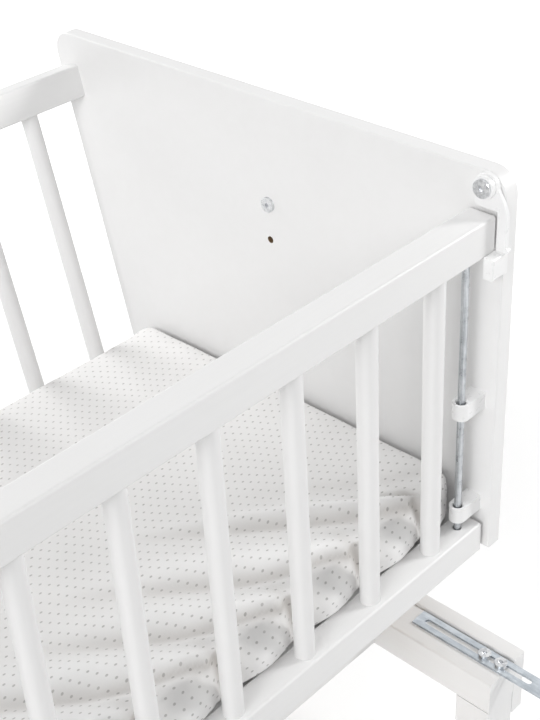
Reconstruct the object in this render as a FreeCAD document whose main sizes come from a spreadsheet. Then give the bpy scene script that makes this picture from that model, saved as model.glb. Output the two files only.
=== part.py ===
import FreeCAD, Part
import Sketcher
import math
import os
import re

V = FreeCAD.Vector
Rotation = FreeCAD.Rotation
Placement = FreeCAD.Placement

doc = FreeCAD.newDocument("bedside_crib")

# ---------------------------------------------------------------- driving dimensions, millimetres
# The frame: X along the crib, the drop side at -Y, Z up from the floor. Heights on the crib
# are counted from the lower edge of the end panels, depths from their front edge.
SIZES = (
    # end panels
    ("inside_length", 895, "between the inner faces of the two end panels"),
    ("board_thickness", 16, "end panels and side carriers"),
    ("panel_height", 355, "end panel, lower edge to upper edge"),
    ("panel_depth_foot", 454, "end panel, front to rear along the lower edge"),
    ("panel_depth_head", 529, "end panel, front to rear along the upper edge"),
    ("panel_corner", 20, "radius of the upper corners of the end panels"),
    ("board_rounding", 1.5, "small rounding on the edges of the boards"),
    ("crib_ground", 463, "floor to the lower edge of the end panels"),
    # rails and spindles of both long sides
    ("rail_depth", 25, "rails of the long sides, front to rear"),
    ("rail_height", 30.5, "rails of the long sides, lower to upper face"),
    ("rail_rounding", 2.2, "long edges of the rails"),
    ("spindle_diameter", 16.5, "spindles"),
    ("spindle_socket", 12, "how deep a spindle sits in each rail"),
    ("spindle_count", 11, "spindles in each long side"),
    ("end_spindle_gap", 60, "end panel to the axis of the first spindle"),
    # drop side
    ("drop_front_gap", 5, "front edge of the panel to the front face of the drop side"),
    ("drop_top_height", 323.5, "upper face of the drop side's top rail"),
    ("drop_bottom_height", 28.6, "upper face of the drop side's bottom rail"),
    ("drop_end_gap", 5.2, "ends of the drop side to the panels, where the latches pass"),
    ("drop_travel", 130, "how far the drop side goes down"),
    # guide rods and clips
    ("rod_diameter", 6, "steel guide rod"),
    ("rod_socket", 16, "how deep the guide rod sits in each rail"),
    ("rod_mouth_diameter", 7.8, "wider mouth of the rod's hole in the bottom rail"),
    ("rod_mouth_depth", 2.5, "wider mouth of the rod's hole in the bottom rail"),
    ("rod_panel_gap", 22.5, "panel to the axis of the guide rod"),
    ("clip_hole", 8, "hole of the guide clips"),
    ("clip_width", 14.5, "guide clip, front to rear"),
    ("clip_thickness", 15, "guide clip, lower to upper face"),
    ("clip_nose_flat", 0.1, "flat left on the rounded nose of the clips"),
    ("clip_mouth", 1.2, "widening of the clips' holes at their upper end"),
    ("clip_stop_gap", 2.7, "top rail to the upper guide clip when the side is right down"),
    ("lower_clip_height", 39, "lower face of the lower guide clip"),
    # latches
    ("latch_pivot_depth", 15, "front edge of the panel to the latch pivot"),
    ("latch_pivot_height", 344.5, "height of the latch pivot"),
    ("latch_panel_gap", 0.6, "latch to the panel"),
    ("latch_thickness", 3.8, "flat plate of the latch, between the rail's end and the panel"),
    ("latch_head_radius", 10.3, "round head of the latch about its pivot"),
    ("latch_head_flat", 0.1, "flat left on the rounded head"),
    ("latch_shoulder_gap", 2.8, "upper face of the top rail to the head's lower edge"),
    ("latch_shoulder_radius", 4, "rear corner of the head's lower edge"),
    ("latch_bend_rise", 4.5, "upper face of the top rail to the bend of the arm's front edge"),
    ("latch_bend_radius", 30, "bend of the arm's front edge"),
    ("latch_edge_rounding", 0.8, "edges of the plate's inner face"),
    ("latch_hook_length", 18.4, "hook block of the latch, along the rail"),
    ("latch_hook_depth", 8.8, "hook block and arm, front to rear"),
    ("latch_hook_height", 18, "hook block, lower to upper face"),
    ("latch_hook_rise", 2, "how far the hook block stands above the rail's lower face"),
    ("latch_hook_clearance", 0.6, "hook block to the front face of the drop side"),
    ("latch_hook_rounding", 1.5, "front edges of the hook block"),
    ("latch_boss_radius", 9.2, "raised ring under the pivot screw"),
    ("latch_boss_height", 4, "raised ring under the pivot screw"),
    ("latch_nub_diameter", 4, "finger nub above the hook"),
    ("latch_nub_lead", 0.6, "nub's axis, ahead of the arm's front edge"),
    ("latch_screw_length", 21, "pivot screw, under its head"),
    # crib base
    ("base_height", 18, "upper face of the slats, where the mattress lies"),
    ("slat_thickness", 8, "slats"),
    ("slat_width", 60, "slats"),
    ("slat_count", 9, "slats"),
    ("slat_end_gap", 25, "panel to the first slat"),
    ("slat_clearance", 1, "slat end to the bearer"),
    ("bearer_depth", 28, "bearers under the slats, front to rear"),
    ("bearer_lip", 14, "full-height part of the bearers"),
    ("bearer_drop_gap", 2, "drop side to the front bearer"),
    # rear side
    ("rear_inset", 3, "rear side's outer face, inside the rear edge of the panels"),
    ("rear_low_start", -8, "lower face of the rear bottom rail, along the lean"),
    ("rear_top_start", 296.6, "lower face of the rear top rail, along the lean"),
    # mattress
    ("mattress_thickness", 45, "mattress at its edges"),
    ("mattress_crown", 3, "how much higher its middle is"),
    ("mattress_end_gap", 2.5, "mattress to the end panels"),
    ("mattress_front_gap", 3, "mattress to the drop side"),
    ("mattress_rear_gap", 4, "mattress to the rear side at its lower edge"),
    ("mattress_corner", 16, "corner radius seen from above"),
    ("mattress_edge", 13, "how far its rounded edges draw in"),
    ("mattress_corner_ratio", 0.6, "share of the drawing in that its corner radius loses"),
    ("mattress_crown_ratio", 0.9, "roundness of the crown's corners, 1 being fully round"),
    # leg frames
    ("post_side", 38, "square posts and cross rails of the leg frames"),
    ("cross_rail_gap", 4.1, "lowered drop side to the upper face of the cross rails"),
    ("carrier_rise", 3, "how far the side carrier stands above the cross rail"),
    ("carrier_bar_height", 70, "horizontal bar of the side carrier"),
    ("carrier_upright_width", 140, "upright of the side carrier"),
    ("carrier_upright_height", 300, "top of the upright above the crib's lower edge"),
    ("carrier_inner_radius", 40, "radius between the carrier's bar and its upright"),
    ("frame_front", 25, "how far the leg frames stand in front of the panels"),
    ("frame_rear", 479, "rear face of the leg frames, from the front edge of the panels"),
    ("glide_height", 5, "foot glides"),
    ("glide_radius", 11, "foot glides"),
    ("stretcher_depth", 22, "stretchers, front to rear"),
    ("front_stretcher_depth", 112, "front edge of the panels to the front stretcher"),
    ("rear_stretcher_depth", 392, "front edge of the panels to the rear stretcher"),
    ("dowel_radius", 4, "wooden dowels"),
    ("dowel_length", 36, "wooden dowels"),
    ("dowel_spread", 18, "between the two dowels of a joint"),
    # bolts and screws
    ("adjust_depth", 246, "front edge of the panel to the height bolts"),
    ("adjust_height", 255.6, "upper height bolt"),
    ("adjust_spread", 175, "between the two height bolts"),
    ("adjust_step", 35, "from a height bolt down to the next hole"),
    ("adjust_hole_radius", 3.2, "holes for the height bolts"),
    ("bolt_radius", 3, "M6 bolts"),
    ("bolt_head_radius", 6.9, "flat bolt heads"),
    ("bolt_head_height", 2.6, "flat bolt heads"),
    ("socket_width", 4, "hexagon sockets, across the flats"),
    ("socket_depth", 1.8, "hexagon sockets"),
    ("insert_radius", 4.5, "insert nuts in the side carriers"),
    ("insert_length", 13, "insert nuts in the side carriers"),
    ("pivot_head_radius", 7.4, "head of the latch screw"),
    ("pivot_clearance", 0.06, "latch bore around its screw"),
    ("screw_radius", 2.5, "panel screws"),
    ("screw_head_radius", 5, "panel screw heads"),
    ("screw_length", 50, "panel screws"),
    ("small_screw_radius", 1.75, "screws of clips and slats"),
    ("small_head_radius", 3.5, "heads of the screws of clips and slats"),
    ("clip_screw_length", 24, "screws of the guide clips"),
    ("carrier_screw_length", 40, "screws from the side carrier into the cross rail"),
    ("carrier_screw_margin", 14, "from a leg to the nearest of those screws"),
    ("stretcher_bolt_length", 92, "bolts from the side carrier into the stretcher"),
    ("barrel_radius", 5, "barrel nuts of the stretcher bolts"),
    ("barrel_length", 14, "barrel nuts of the stretcher bolts"),
    ("barrel_tip_gap", 7.5, "tip of a stretcher bolt to the axis of its barrel nut"),
    ("bolt_tip_margin", 2, "tip of a height bolt to the outer face of the side carrier"),
    ("slat_screw_margin", 2, "tip of a slat screw to the lower face of the bearer"),
    # slotted brackets to the parents' bed
    ("bracket_width", 18, "slotted bracket, along X"),
    ("bracket_thickness", 2.5, "sheet steel of the bracket"),
    ("bracket_rear", 78, "rear end of the bracket, behind the front edge of the panels"),
    ("bracket_front", 82, "front end of the bracket, before the front edge of the panels"),
    ("bracket_lip", 25, "hook at the front end, downwards"),
    ("bracket_panel_gap", 3.5, "bracket axis, outside the panel's inner face"),
    ("slot_width", 6.5, "slot of the bracket"),
    ("slot_end_margin", 9, "slot to the rear end of the bracket"),
    ("slot_front_margin", 30, "slot to the front end of the bracket"),
    ("clamp_pitch", 18, "between the two clamp screws of a bracket"),
    ("clamp_head_radius", 6, "clamp screw heads"),
    ("clamp_head_height", 3.3, "clamp screw heads"),
    ("clamp_length", 20, "clamp screws below the bracket"),
    ("clamp_gap", 0.1, "clamp screw head to the bracket"),
    ("slot_margin", 1, "how far the slot's cutter stands out of the sheet"),
)

sheet = doc.addObject("Spreadsheet::Sheet", "sizes")
for row, (alias, number, meaning) in enumerate(SIZES, 1):
    sheet.set("A%d" % row, meaning)
    sheet.set("B%d" % row, str(number))
    sheet.setAlias("B%d" % row, alias)
doc.recompute()
ALIASES = {alias for alias, number, meaning in SIZES}

# ---------------------------------------------------------------- places worked out from the sizes
PLACES = {
    "inner_face": "inside_length / 2",
    "outer_face": "inner_face + board_thickness",
    "rear_reach": "panel_depth_foot + (panel_height - panel_corner) * lean_slope"
                  " + panel_corner - panel_corner / lean_cos",
    "front_edge": "(bracket_front - rear_reach) / 2",
    "lean_slope": "(panel_depth_head - panel_depth_foot) / panel_height",
    "lean_cos": "1 / sqrt(1 + lean_slope ^ 2)",
    "lean_sin": "lean_slope * lean_cos",
    "spindle_pitch": "(inside_length - 2 * end_spindle_gap) / (spindle_count - 1)",
    "drop_front": "front_edge + drop_front_gap",
    "drop_axis": "drop_front + rail_depth / 2",
    "drop_rear": "drop_front + rail_depth",
    "drop_top_over": "crib_ground + drop_top_height",
    "drop_top_under": "drop_top_over - rail_height",
    "drop_bottom_over": "crib_ground + drop_bottom_height",
    "drop_bottom_under": "drop_bottom_over - rail_height",
    "upper_clip_under": "drop_top_under - drop_travel - clip_stop_gap - clip_thickness",
    "lower_clip_under": "crib_ground + lower_clip_height",
    "rod_x": "inner_face - rod_panel_gap",
    "pivot_y": "front_edge + latch_pivot_depth",
    "pivot_z": "crib_ground + latch_pivot_height",
    "latch_outer": "inner_face - latch_panel_gap",
    "hook_rear": "drop_front - latch_hook_clearance",
    "hook_over": "drop_top_under + latch_hook_rise",
    "hook_under": "hook_over - latch_hook_height",
    "arm_front": "hook_rear - latch_hook_depth",
    "ledge_height": "base_height - slat_thickness",
    "front_bearer_y": "drop_rear + bearer_drop_gap",
    "rear_plane_y": "front_edge + panel_depth_foot - (rear_inset + rail_depth) / lean_cos",
    "rear_bearer_y": "rear_plane_y - bearer_depth",
    "slat_y": "front_bearer_y + bearer_lip + slat_clearance",
    "slat_length": "rear_bearer_y + bearer_depth - bearer_lip - slat_clearance - slat_y",
    "slat_pitch": "(inside_length - 2 * slat_end_gap - slat_width) / (slat_count - 1)",
    "cross_rail_over": "drop_bottom_under - drop_travel - cross_rail_gap",
    "cross_rail_under": "cross_rail_over - post_side",
    "post_x": "outer_face - post_side",
    "frame_front_y": "front_edge - frame_front",
    "frame_length": "frame_front + frame_rear",
    "rear_post_y": "frame_front_y + frame_length - post_side",
    "carrier_over": "cross_rail_over + carrier_rise",
    "carrier_under": "carrier_over - carrier_bar_height",
    "adjust_y": "front_edge + adjust_depth",
    "adjust_z": "crib_ground + adjust_height",
    "bracket_x": "inner_face + bracket_panel_gap",
    "slot_rear_y": "front_edge + bracket_rear - slot_end_margin - slot_width / 2",
    "slot_front_y": "front_edge - bracket_front + slot_front_margin + slot_width / 2",
    "clamp_z": "cross_rail_over + bracket_thickness + clamp_gap",
}


def bound(text):
    """The expression for a size or place, with every name traced back to the sheet's cells."""
    def trace(match):
        word = match.group(0)
        if word in ALIASES:
            return "sizes." + word
        if word in PLACES:
            return "(" + bound(PLACES[word]) + ")"
        return word
    return re.sub(r"[a-z_]+", trace, str(text))


def bind(item, **sizes):
    """Tie properties of an object to sizes; place is a triple for Placement.Base."""
    for name, text in sizes.items():
        if name == "place":
            for axis, part in zip("xyz", text):
                item.setExpression("Placement.Base." + axis, bound(part))
        else:
            item.setExpression(name, bound(text))


# ---------------------------------------------------------------- building blocks
def box(label, place, extents):
    item = doc.addObject("Part::Box", label)
    bind(item, place=place, Length=extents[0], Width=extents[1], Height=extents[2])
    return item


TURNS = {
    "+Z": Rotation(),
    "-Z": Rotation(V(1, 0, 0), 180),
    "+X": Rotation(V(0, 1, 0), 90),
    "-X": Rotation(V(0, 1, 0), -90),
}


def cylinder(label, place, radius, length, along="+Z"):
    item = doc.addObject("Part::Cylinder", label)
    item.Placement = Placement(V(), TURNS[along])
    bind(item, place=place, Radius=radius, Height=length)
    return item


def cone(label, place, radius_start, radius_end, length, along="+Z"):
    item = doc.addObject("Part::Cone", label)
    item.Placement = Placement(V(), TURNS[along])
    bind(item, place=place, Radius1=radius_start, Radius2=radius_end, Height=length)
    return item


def prism(label, place, width_across_flats, length, along="+Z"):
    item = doc.addObject("Part::Prism", label)
    item.Polygon = 6
    item.Placement = Placement(V(), TURNS[along])
    bind(item, place=place, Circumradius="(%s) / sqrt(3)" % width_across_flats, Height=length)
    return item


def fuse(label, pieces):
    item = doc.addObject("Part::MultiFuse", label)
    item.Shapes = pieces
    return item


def cut(label, base, tool):
    item = doc.addObject("Part::Cut", label)
    item.Base = base
    item.Tool = tool
    return item


def group(label, pieces):
    item = doc.addObject("Part::Compound", label)
    item.Links = pieces
    return item


def plane_of(body, role):
    return [part for part in body.Origin.OriginFeatures if part.Role == role][0]


# Where a sketch's corners stand before its distances are tied: any open ring will do.
START_CENTRE = V(200, 200, 0)
START_ARM = V(100, 0, 0)


def outline_sketch(body, name, role, corners):
    """A closed outline of straight lines on one of the body's origin planes, every corner at
    distances from the origin that are tied to the sizes. All distances are positive or zero."""
    sketch = body.newObject("Sketcher::SketchObject", name)
    sketch.AttachmentSupport = [(plane_of(body, role), "")]
    sketch.MapMode = "FlatFace"
    count = len(corners)
    doc.recompute()
    spread = [START_CENTRE + Rotation(V(0, 0, 1), 360.0 * i / count).multVec(START_ARM)
              for i in range(count)]
    for i in range(count):
        sketch.addGeometry(Part.LineSegment(spread[i], spread[(i + 1) % count]), False)
    for i in range(count):
        sketch.addConstraint(Sketcher.Constraint("Coincident", i, 2, (i + 1) % count, 1))
    for i, corner in enumerate(corners):
        for kind, axis, text in (("DistanceX", -2, corner[0]), ("DistanceY", -1, corner[1])):
            if str(text) == "0":
                sketch.addConstraint(Sketcher.Constraint("PointOnObject", i, 1, axis))
            else:
                place = sketch.addConstraint(Sketcher.Constraint(kind, -1, 1, i, 1, 50.0))
                sketch.setExpression("Constraints[%d]" % place, bound(text))
    doc.recompute()
    return sketch


def pad(body, name, sketch, length, offset=None):
    """Pad a sketch; offset shifts the sketch along the plane's normal first."""
    if offset is not None:
        sketch.setExpression("AttachmentOffset.Base.z", bound(offset))
    feature = body.newObject("PartDesign::Pad", name)
    feature.Profile = sketch
    bind(feature, Length=length)
    doc.recompute()
    return feature


def rounded(body, name, base, radius, chosen):
    """Round the edges of a feature that the test 'chosen' picks."""
    edges = ["Edge%d" % (i + 1) for i, edge in enumerate(base.Shape.Edges) if chosen(edge)]
    feature = body.newObject("PartDesign::Fillet", name)
    feature.Base = (base, edges)
    bind(feature, Radius=radius)
    doc.recompute()
    return feature


SAME_PLACE = 0.01  # millimetres
PARALLEL = 1e-6  # one less the cosine between two directions


def runs_along(edge, axis):
    """True for a straight edge parallel to the axis."""
    if edge.Curve.TypeId != "Part::GeomLine":
        return False
    return abs(abs(edge.tangentAt(edge.FirstParameter).dot(axis)) - 1) < PARALLEL


def near(number, target):
    return abs(number - target) < SAME_PLACE


X_AXIS = V(1, 0, 0)
Y_AXIS = V(0, 1, 0)
Z_AXIS = V(0, 0, 1)


def outline_body(label, corners, length, place, role="YZ_Plane"):
    """A body padded from one outline; returns the body and its pad."""
    body = doc.addObject("PartDesign::Body", label)
    doc.recompute()
    sketch = outline_sketch(body, label + "_outline", role, corners)
    feature = pad(body, label + "_pad", sketch, length)
    bind(body, place=place)
    return body, feature


def bar(label, depth, height, length, place, rounding):
    """A straight bar along X with rounded long edges."""
    corners = (("0", "0"), (depth, "0"), (depth, height), ("0", height))
    body, feature = outline_body(label, corners, length, place)
    rounded(body, label + "_long_edges", feature, rounding, lambda e: runs_along(e, X_AXIS))
    return body


def post(label, place, extents, rounding, axis):
    """A straight post or rail with its long edges, those along the axis, rounded."""
    corners = (("0", "0"), (extents[1], "0"), (extents[1], extents[2]), ("0", extents[2]))
    body, feature = outline_body(label, corners, extents[0], place)
    rounded(body, label + "_long_edges", feature, rounding, lambda e: runs_along(e, axis))
    return body


# ---------------------------------------------------------------- fasteners
def socket_bolt(label, place, length, along, head_radius="bolt_head_radius",
                head_height="bolt_head_height", radius="bolt_radius"):
    """A flat-headed bolt with a hexagon socket. The place is where the head's underside
    meets the shank; 'along' is the way from there to the tip."""
    sign = "+" if along[0] == "+" else "-"
    back = "-" if sign == "+" else "+"
    axis = along[1]

    def shifted(distance):
        return tuple(text + " %s (%s)" % (back, distance) if axis == name else text
                     for text, name in zip(place, "XYZ"))

    shank = cylinder(label + "_shank", place, radius, length, along)
    head = cylinder(label + "_head", shifted(head_height), head_radius, head_height, along)
    body = fuse(label + "_blank", [head, shank])
    socket = prism(label + "_socket", shifted(head_height), "socket_width", "socket_depth", along)
    return cut(label, body, socket)


def flush_screw(label, place, length, along, radius="screw_radius",
                head_radius="screw_head_radius"):
    """A countersunk screw whose head ends level with the place."""
    head = cone(label + "_head", place, head_radius, radius,
                "%s - %s" % (head_radius, radius), along)
    shank = cylinder(label + "_shank", place, radius, length, along)
    return fuse(label, [head, shank])


# ---------------------------------------------------------------- pieces of the right-hand end
def height_bolts():
    bolts = []
    for name, drop in (("upper", "0"), ("lower", "adjust_spread")):
        place = ("inner_face", "adjust_y", "adjust_z - " + drop)
        bolts.append(socket_bolt("height_bolt_" + name, place,
                                 "2 * board_thickness - bolt_tip_margin", "+X"))
    return group("right_height_bolts", bolts)


def insert_nuts():
    nuts = []
    for name, drop in (("upper", "0"), ("lower", "adjust_spread")):
        place = ("outer_face", "adjust_y", "adjust_z - " + drop)
        blank = cylinder("insert_blank_" + name, place, "insert_radius", "insert_length", "+X")
        bore = cylinder("insert_bore_" + name, place, "bolt_radius", "insert_length", "+X")
        nuts.append(cut("insert_nut_" + name, blank, bore))
    return group("right_insert_nuts", nuts)


def latch_screw():
    """Pivot screw of the latch, from the latch's ring into the panel."""
    place = ("latch_outer - latch_thickness - latch_boss_height - clamp_gap",
             "pivot_y", "pivot_z")
    return socket_bolt("right_latch_screw", place, "latch_screw_length", "+X",
                       head_radius="pivot_head_radius")


def clip_screws():
    screws = []
    for name in ("upper", "lower"):
        place = ("outer_face", "drop_axis",
                 "%s_clip_under + clip_thickness / 2" % name)
        screws.append(flush_screw("clip_screw_" + name, place, "clip_screw_length", "-X",
                                  "small_screw_radius", "small_head_radius"))
    return group("right_clip_screws", screws)


def lean_point(inwards, upwards):
    """Y and Z of a point of the leaning rear side: a distance inwards from the rear edge of the
    panels, square to it, and a distance up along it."""
    return ("front_edge + panel_depth_foot - (%s) * lean_cos + (%s) * lean_sin"
            % (inwards, upwards),
            "crib_ground + (%s) * lean_sin + (%s) * lean_cos" % (inwards, upwards))


def panel_screws():
    """Screws through the panel into the ends of the rear rails and the bearers."""
    middle = "rear_inset + rail_depth / 2"
    top = lean_point(middle, "rear_top_start + rail_height / 2")
    low = lean_point(middle, "rear_low_start + rail_height / 2")
    spots = (
        ("rear_top", top),
        ("rear_low", low),
        ("front_bearer", ("front_bearer_y + bearer_lip / 2", "crib_ground + base_height / 2")),
        ("rear_bearer", ("rear_bearer_y + bearer_depth - bearer_lip / 2",
                         "crib_ground + base_height / 2")),
    )
    screws = [flush_screw("panel_screw_" + name, ("outer_face",) + spot, "screw_length", "-X")
              for name, spot in spots]
    return group("right_panel_screws", screws)


def end_panel(fasteners):
    corners = (("0", "0"), ("panel_depth_foot", "0"),
               ("panel_depth_head", "panel_height"), ("0", "panel_height"))
    place = ("inner_face", "front_edge", "crib_ground")
    body, feature = outline_body("right_panel_board", corners, "board_thickness", place)
    high = feature.Shape.BoundBox.ZMax
    feature = rounded(body, "panel_corners", feature, "panel_corner",
                      lambda e: runs_along(e, X_AXIS) and near(e.CenterOfMass.z, high))
    rounded(body, "panel_edges", feature, "board_rounding",
            lambda e: not runs_along(e, X_AXIS))
    holes = [cylinder("adjust_hole_%s" % name,
                      ("inner_face", "adjust_y", "adjust_z - adjust_step - " + drop),
                      "adjust_hole_radius", "board_thickness", "+X")
             for name, drop in (("upper", "0"), ("lower", "adjust_spread"))]
    return cut("right_end_panel", body, group("right_panel_holes", holes + fasteners))


def guide_clip(name):
    """A white plastic clip on the inner face of the panel, with a rounded nose that guides
    the rod."""
    low = name + "_clip_under"
    reach = "rod_panel_gap + clip_width / 2"
    corners = (("0", "0"), (reach, "0"), (reach, "clip_width"), ("0", "clip_width"))
    place = ("inner_face - rod_panel_gap - clip_width / 2", "drop_axis - clip_width / 2", low)
    arm, feature = outline_body(name + "_clip_arm", corners, "clip_thickness", place, "XY_Plane")
    rounded(arm, name + "_clip_nose", feature, "(clip_width - clip_nose_flat) / 2",
            lambda e: runs_along(e, Z_AXIS) and near(e.CenterOfMass.x, 0))
    hole = cylinder(name + "_clip_hole", ("rod_x", "drop_axis", low),
                    "clip_hole / 2", "clip_thickness")
    mouth = cone(name + "_clip_mouth", ("rod_x", "drop_axis", low + " + clip_thickness - clip_mouth"),
                 "clip_hole / 2", "clip_hole / 2 + clip_mouth", "clip_mouth")
    return cut("right_%s_guide_clip" % name, arm,
               group(name + "_clip_openings", [hole, mouth, PIECES["right_clip_screws"]]))


def latch():
    """A flat lever on a pivot screw. Its arm runs down past the end of the top rail, between it
    and the panel, and the hook block stands in front of the rail at its lower edge."""
    depth = "latch_hook_depth"
    front = "pivot_y - latch_head_radius - arm_front"
    rear = "pivot_y + latch_head_radius - arm_front"
    shoulder = "drop_top_over + latch_shoulder_gap - hook_under"
    bend = "drop_top_over + latch_bend_rise - hook_under"
    top = "pivot_z + latch_head_radius - hook_under"
    corners = (("0", "0"), (depth, "0"), (depth, shoulder), (rear, shoulder), (rear, top),
               (front, top), (front, "pivot_z - hook_under"), ("0", bend))
    plate, feature = outline_body("latch_plate", corners, "latch_thickness",
                                  ("latch_outer - latch_thickness", "arm_front", "hook_under"))
    limits = feature.Shape.BoundBox

    feature = rounded(plate, "latch_shoulder", feature, "latch_shoulder_radius",
                      lambda e: runs_along(e, X_AXIS) and near(e.CenterOfMass.y, limits.YMax)
                      and not near(e.CenterOfMass.z, limits.ZMax))
    feature = rounded(plate, "latch_bend", feature, "latch_bend_radius",
                      lambda e: runs_along(e, X_AXIS) and near(e.CenterOfMass.y, limits.YMin)
                      and not near(e.CenterOfMass.z, limits.ZMin))
    feature = rounded(plate, "latch_head", feature, "latch_head_radius - latch_head_flat",
                      lambda e: runs_along(e, X_AXIS) and near(e.CenterOfMass.z, limits.ZMax))
    rounded(plate, "latch_edges", feature, "latch_edge_rounding",
            lambda e: near(e.CenterOfMass.x, limits.XMin))
    hook_corners = (("0", "0"), (depth, "0"), (depth, "latch_hook_height"),
                    ("0", "latch_hook_height"))
    hook, feature = outline_body("latch_hook", hook_corners, "latch_hook_length",
                                 ("latch_outer - latch_hook_length", "arm_front", "hook_under"))
    ahead = feature.Shape.BoundBox.YMin
    rounded(hook, "latch_hook_edges", feature, "latch_hook_rounding",
            lambda e: near(e.CenterOfMass.y, ahead))
    ring = cylinder("latch_ring", ("latch_outer - latch_thickness - latch_boss_height",
                                   "pivot_y", "pivot_z"),
                    "latch_boss_radius", "latch_boss_height + latch_thickness / 2", "+X")
    nub = cylinder("latch_nub", ("latch_outer - latch_nub_diameter",
                                 "arm_front - latch_nub_lead",
                                 "hook_over + latch_nub_diameter / 2"),
                   "latch_nub_diameter / 2", "latch_nub_diameter", "+X")
    blank = fuse("latch_blank", [plate, hook, ring, nub])
    bore = cylinder("latch_bore", ("latch_outer - latch_hook_length", "pivot_y", "pivot_z"),
                    "bolt_radius + pivot_clearance", "latch_hook_length", "+X")
    return cut("right_latch", blank, bore)


def guide_rod():
    return cylinder("right_guide_rod", ("rod_x", "drop_axis", "drop_bottom_over - rod_socket"),
                    "rod_diameter / 2", "drop_top_under - drop_bottom_over + 2 * rod_socket")


def carrier_screws():
    screws = []
    middle = "cross_rail_under + post_side / 2"
    spots = ("frame_front_y + post_side + carrier_screw_margin",
             "frame_front_y + frame_length / 3",
             "frame_front_y + 2 * frame_length / 3",
             "rear_post_y - carrier_screw_margin")
    for i, spot in enumerate(spots):
        screws.append(flush_screw("carrier_screw_%d" % (i + 1),
                                  ("outer_face + board_thickness", spot, middle),
                                  "carrier_screw_length", "-X"))
    return group("right_carrier_screws", screws)


def stretcher_bolts():
    bolts = []
    for name in ("front", "rear"):
        spot = "front_edge + %s_stretcher_depth + stretcher_depth / 2" % name
        bolts.append(flush_screw("stretcher_bolt_" + name,
                                 ("outer_face + board_thickness", spot,
                                  "cross_rail_under + post_side / 2"),
                                 "stretcher_bolt_length", "-X",
                                 "bolt_radius", "bolt_head_radius"))
    return group("right_stretcher_bolts", bolts)


def barrel_nuts():
    nuts = []
    for name in ("front", "rear"):
        spot = "front_edge + %s_stretcher_depth + stretcher_depth / 2" % name
        place = ("outer_face + board_thickness - stretcher_bolt_length + barrel_tip_gap",
                 spot, "cross_rail_under + post_side / 2 - barrel_length / 2")
        blank = cylinder("barrel_blank_" + name, place, "barrel_radius", "barrel_length")
        nuts.append(cut("barrel_nut_" + name, blank, PIECES["right_stretcher_bolts"]))
    return group("right_barrel_nuts", nuts)


def side_carrier(fasteners):
    """The board outside the end panel: a bar on the cross rail and an upright that the panel
    is bolted to."""
    upright_front = "adjust_depth + frame_front - carrier_upright_width / 2"
    upright_rear = "adjust_depth + frame_front + carrier_upright_width / 2"
    top = "crib_ground + carrier_upright_height - carrier_under"
    corners = (("0", "0"), ("frame_length", "0"), ("frame_length", "carrier_bar_height"),
               (upright_rear, "carrier_bar_height"), (upright_rear, top), (upright_front, top),
               (upright_front, "carrier_bar_height"), ("0", "carrier_bar_height"))
    place = ("outer_face", "frame_front_y", "carrier_under")
    body, feature = outline_body("carrier_board", corners, "board_thickness", place)
    limits = feature.Shape.BoundBox
    bar_top = limits.ZMin + float(sheet.get("carrier_bar_height"))

    def is_inner(e):
        centre = e.CenterOfMass
        at_end = near(centre.y, limits.YMin) or near(centre.y, limits.YMax)
        return runs_along(e, X_AXIS) and near(centre.z, bar_top) and not at_end

    feature = rounded(body, "carrier_inner_corners", feature, "carrier_inner_radius", is_inner)
    high = feature.Shape.BoundBox.ZMax
    feature = rounded(body, "carrier_top_corners", feature, "panel_corner",
                      lambda e: runs_along(e, X_AXIS) and near(e.CenterOfMass.z, high))
    rounded(body, "carrier_edges", feature, "board_rounding",
            lambda e: not runs_along(e, X_AXIS))
    return cut("right_side_carrier", body, group("carrier_holes", fasteners))


def leg_dowels():
    dowels = []
    for name, low in (("front", "frame_front_y"), ("rear", "rear_post_y")):
        for side, shift in (("a", "-"), ("b", "+")):
            place = ("post_x + post_side / 2 %s dowel_spread / 2" % shift,
                     low + " + post_side / 2",
                     "cross_rail_under - dowel_length / 2")
            dowels.append(cylinder("leg_dowel_%s_%s" % (name, side), place,
                                   "dowel_radius", "dowel_length"))
    return group("right_leg_dowels", dowels)


def leg(name, depth_place):
    body = post("%s_post" % name, ("post_x", depth_place, "glide_height"),
                ("post_side", "post_side", "cross_rail_under - glide_height"),
                "rail_rounding", Z_AXIS)
    return cut("right_%s_leg" % name, body, PIECES["right_leg_dowels"])


def cross_rail(fasteners):
    body = post("cross_rail_bar", ("post_x", "frame_front_y", "cross_rail_under"),
                ("post_side", "frame_length", "post_side"), "rail_rounding", Y_AXIS)
    return cut("right_cross_rail", body, group("cross_rail_holes", fasteners))


def foot_glides():
    glides = []
    for name, low in (("front", "frame_front_y"), ("rear", "rear_post_y")):
        glides.append(cylinder("foot_glide_" + name,
                               ("post_x + post_side / 2", low + " + post_side / 2", "0"),
                               "glide_radius", "glide_height"))
    return group("right_foot_glides", glides)


def clamp_screws():
    screws = []
    for i, shift in enumerate(("0", "clamp_pitch")):
        place = ("bracket_x", "front_edge - " + shift, "clamp_z")
        screws.append(socket_bolt("clamp_screw_%d" % (i + 1), place, "clamp_length", "-Z",
                                  "clamp_head_radius", "clamp_head_height"))
    return group("right_clamp_screws", screws)


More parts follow.
